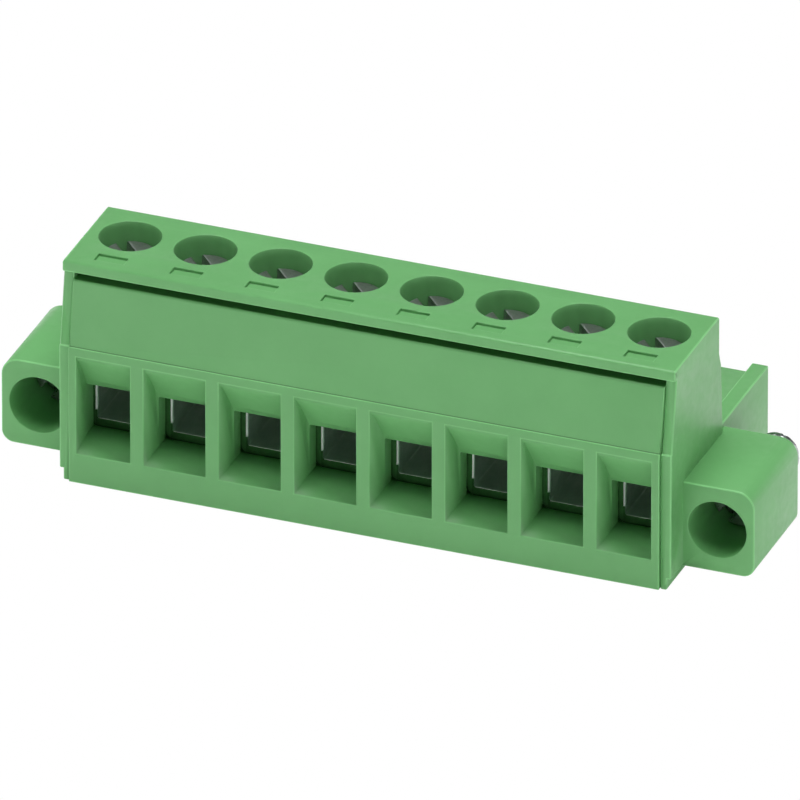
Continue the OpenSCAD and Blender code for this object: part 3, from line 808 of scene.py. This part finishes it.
def makeClampScrew(i, detail):
    node = f"clamp_screw_{i + 1}"
    headLow = screwHigh[2] - detail["headHeight"]
    bm = mergedNode(node, ((0, 0, (headLow + detail["cut"]) * mm), (0, 0, -1)))
    points, faces = threadGrid(headLow - screwLow[2] + detail["overlap"], detail)
    points[:, 2] = headLow + detail["overlap"] - points[:, 2]
    points[:, 1] *= -1
    addShell(bm, points + [poleX[i], 0, 0], faces)
    piece = linkPiece(f"clampScrew{i + 1}", bm, f"screw_{i + 1}", ["screw"], [node])
    finishScrew(piece, detail, lambda middle: middle[:, 2] > headLow + detail["headStart"],
                (poleX[i], 0, screwHigh[2]))


for i in range(poles):
    makeClampScrew(i, clampScrew)
print("clamp screws made")


# Fixing screws
fixingScrew = {
    "threadLength": 3.1,     # mm
    "root": 1.22,
    "crest": 1.5,
    "pitch": 0.5,
    "tip": 0.12,
    "around": 64,
    "perPitch": 16,
    "cut": 0.005,            # the shank is cut this far before the thread's start
    "headLength": 2.0,       # the head's rounded edges lie within this
    "edge": 0.07,
    "turn": 32.0,
}


def makeFixingScrew(side, sign, detail):
    node = f"{side}_fixing_screw"
    threadY = fixingHigh[1] - detail["threadLength"]
    bm = mergedNode(node, ((0, (threadY - detail["cut"]) * mm, 0), (0, 1, 0)))
    points, faces = threadGrid(detail["threadLength"], detail)
    points = np.stack([points[:, 0], threadY + points[:, 2], -points[:, 1]], 1)
    addShell(bm, points + [sign * fixingX, 0, fixingZ], faces)
    piece = linkPiece(f"{side}FixingScrew", bm, f"{side}_fixing", ["fixing"], [node])
    finishScrew(piece, detail, lambda middle: middle[:, 1] < fixingLow[1] + detail["headLength"],
                (sign * fixingX, fixingLow[1], fixingZ))


makeFixingScrew("left", -1, fixingScrew)
makeFixingScrew("right", 1, fixingScrew)
print("fixing screws made")


# Contacts keep the CAD shape and take the plating
for i in range(poles):
    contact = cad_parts[f"contact_{i + 1}"]
    contact.data.materials.clear()
    contact.data.materials.append(materials["contact"])
print("contacts plated")


# Bench and room light
studio = {
    "floorSize": 3.0,        # m
    "floorDrop": 0.00002,    # m, below the part
    "floorShade": 0.85,
    "floorRough": 0.9,
    "floorGlow": 0.28,       # light that the bench's paper gives by itself
    "frontWall": 2.45,       # brightness of the low window band in front of the part
    "backWall": 0.7,         # and behind it
    "frontTurn": 22.0,       # degrees from straight ahead to the middle of the front, towards +X
    "bandTop": 0.139,        # sine of the angle where the window band ends
    "bandSoft": 0.03,        # over which it fades
    "frontFill": 0.04,       # brightness of the walls above it, in front
    "backFill": 0.2,         # and behind
    "ceiling": 7.3,          # brightness of the soft light straight above
    "ceilingEdge": 0.927,    # sine of the angle where the ceiling light begins
    "ceilingSoft": 0.02,     # over which it fades
}


def makeRoom(light):
    # A bright band along the horizon that blends from the back wall to the front one, and a ceiling light
    world = bpy.data.worlds.new("whiteRoom")
    world.use_nodes = True
    tree = world.node_tree
    turn = math.radians(light["frontTurn"])
    direction = addNode(tree, "ShaderNodeTexCoord").outputs["Generated"]
    towards = addNode(tree, "ShaderNodeVectorMath", {"operation": "DOT_PRODUCT"}, i0=direction,
                      i1=(math.sin(turn), -math.cos(turn), 0)).outputs["Value"]
    height = addNode(tree, "ShaderNodeSeparateXYZ", i0=direction).outputs["Z"]
    walls = mapRange(tree, towards, -1.0, 1.0, light["backWall"], light["frontWall"])
    band = mapRange(tree, height, light["bandTop"] - light["bandSoft"], light["bandTop"] + light["bandSoft"],
                    1.0, 0.0)
    fill = mapRange(tree, towards, -1.0, 1.0, light["backFill"], light["frontFill"])
    ceiling = mapRange(tree, height, light["ceilingEdge"] - light["ceilingSoft"],
                       light["ceilingEdge"] + light["ceilingSoft"], 0.0, light["ceiling"])
    background = tree.nodes["Background"]
    background.inputs["Color"].default_value = (1, 1, 1, 1)
    low = mathNode(tree, "ADD", mathNode(tree, "MULTIPLY", walls, band), fill)
    tree.links.new(mathNode(tree, "ADD", low, ceiling), background.inputs["Strength"])
    bpy.context.scene.world = world


def makeStudio(light):
    half = light["floorSize"] / 2
    mesh = bpy.data.meshes.new("benchPaper")
    mesh.from_pydata([(-half, -half, 0), (half, -half, 0), (half, half, 0), (-half, half, 0)], [], [(0, 1, 2, 3)])
    floor = bpy.data.objects.new("benchPaper", mesh)
    bpy.context.scene.collection.objects.link(floor)
    floor.location.z = -light["floorDrop"]
    material, tree, principled = newMaterial("whitePaper", {
        "Base Color": (light["floorShade"],) * 3 + (1,), "Roughness": light["floorRough"],
        "Emission Color": (1, 1, 1, 1), "Emission Strength": light["floorGlow"]})
    white = addNode(tree, "ShaderNodeEmission", Color=(1, 1, 1, 1), Strength=1.0)
    path = addNode(tree, "ShaderNodeLightPath")
    mix = addNode(tree, "ShaderNodeMixShader", i0=path.outputs["Is Camera Ray"], i1=principled.outputs[0],
                  i2=white.outputs[0])
    tree.links.new(mix.outputs[0], tree.nodes["Material Output"].inputs["Surface"])
    mesh.materials.append(material)
    makeRoom(light)
    bpy.context.scene.view_settings.view_transform = "Standard"


makeStudio(studio)
print("studio ready")
